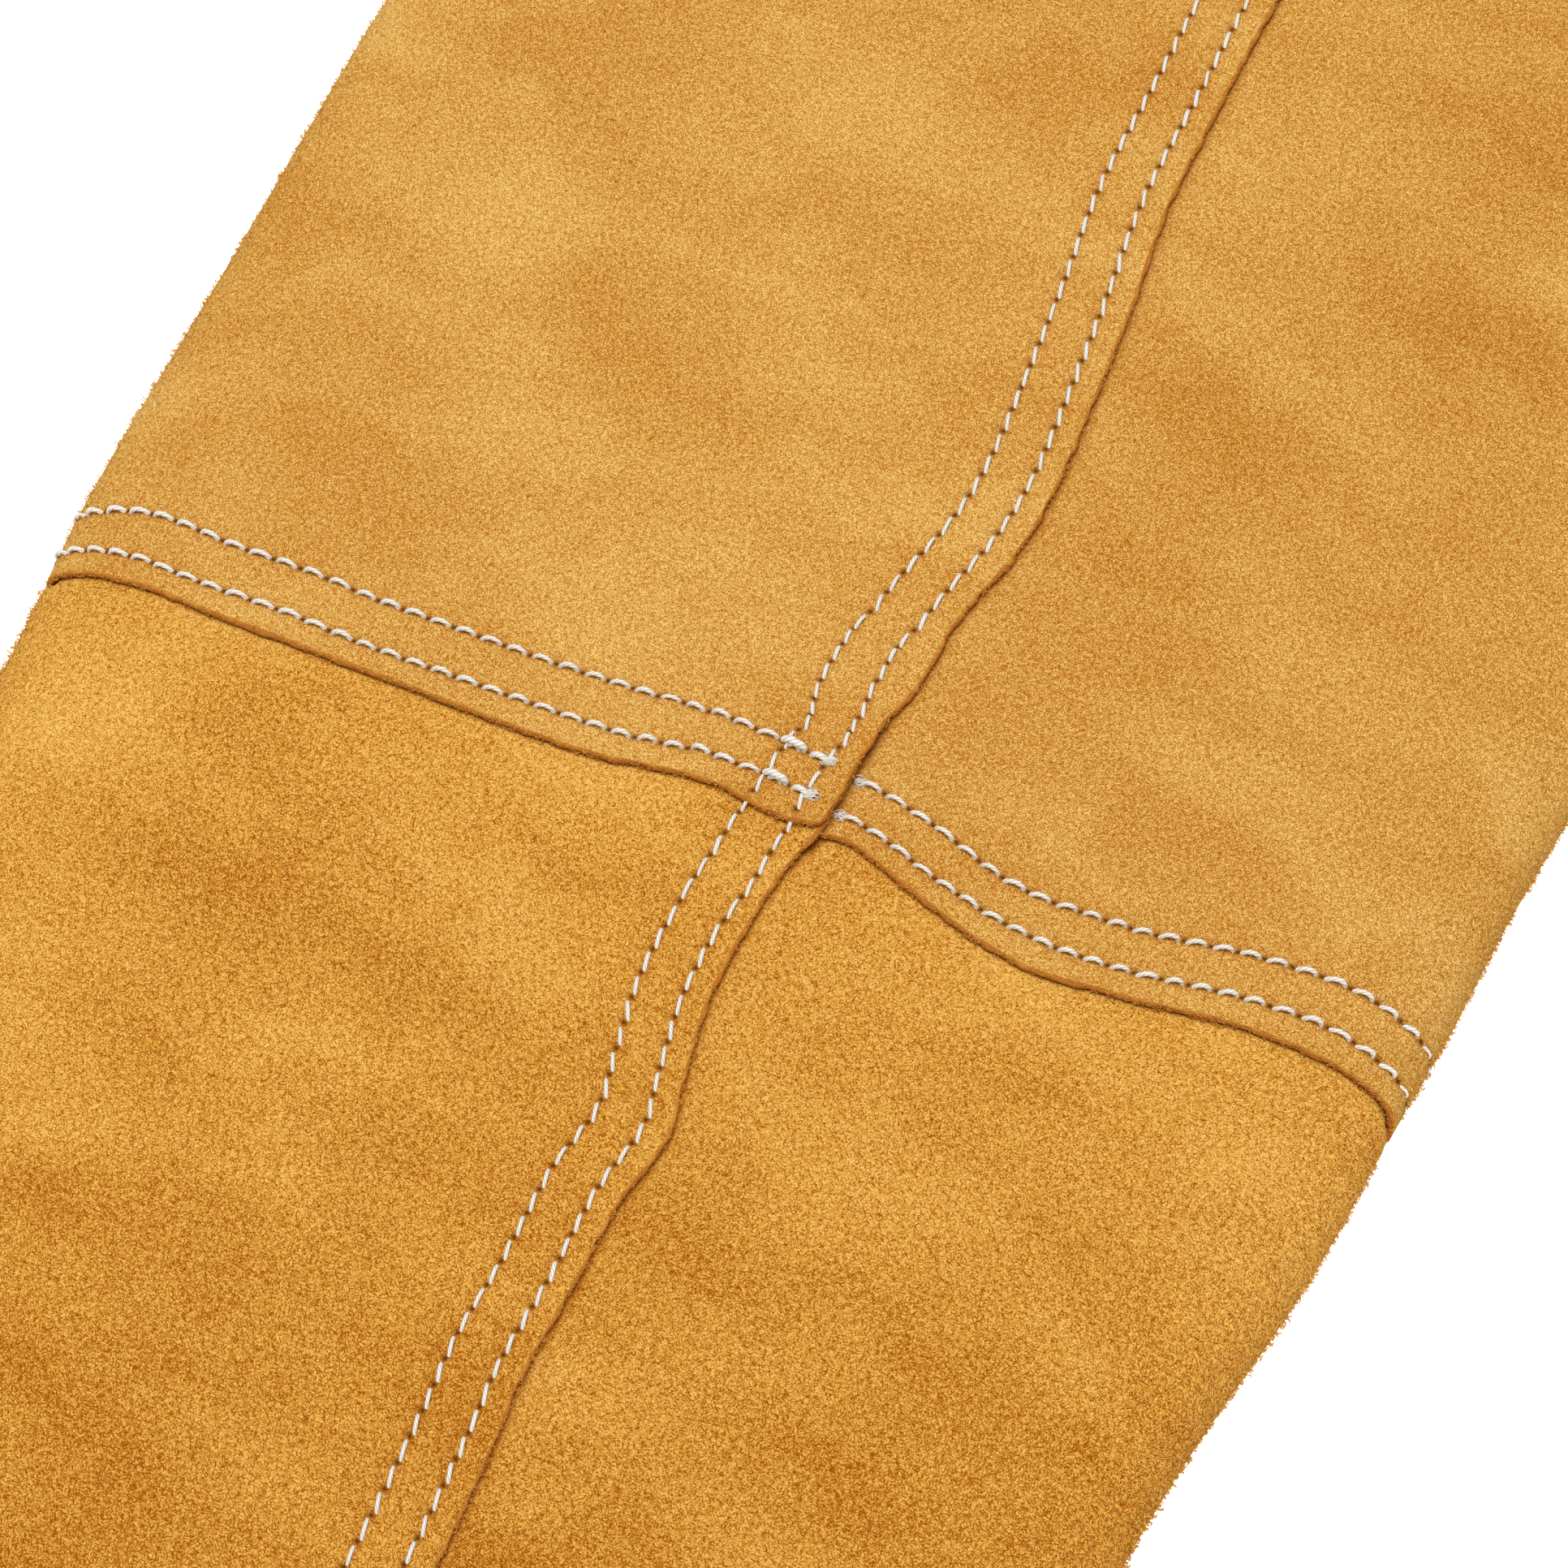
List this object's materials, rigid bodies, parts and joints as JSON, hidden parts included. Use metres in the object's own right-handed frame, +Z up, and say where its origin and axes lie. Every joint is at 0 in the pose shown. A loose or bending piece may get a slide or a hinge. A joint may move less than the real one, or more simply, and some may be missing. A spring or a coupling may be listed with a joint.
{
  "type": "welding sleeve",
  "caption": "Suede leather welding sleeve lying flat: a hollow tapered arm cover with lapped, double-stitched lengthwise and crosswise seams and open hemmed ends.",
  "frame": {"origin": "centre of the sleeve's outline on the floor it lies on", "axes": "+Y along the sleeve towards the upper-arm end, +Z up from the floor, +X to the sleeve's right seen from above with the wrist end nearest"},
  "size_m": [0.2221, 0.5501, 0.0436],
  "materials": {
    "suede": "matte golden-yellow split suede with a soft nap",
    "thread": "off-white twisted sewing thread"
  },
  "bodies": {
    "root": {"upper_arm_panel": "suede", "forearm_panel": "suede"}
  },
  "joints": []
}
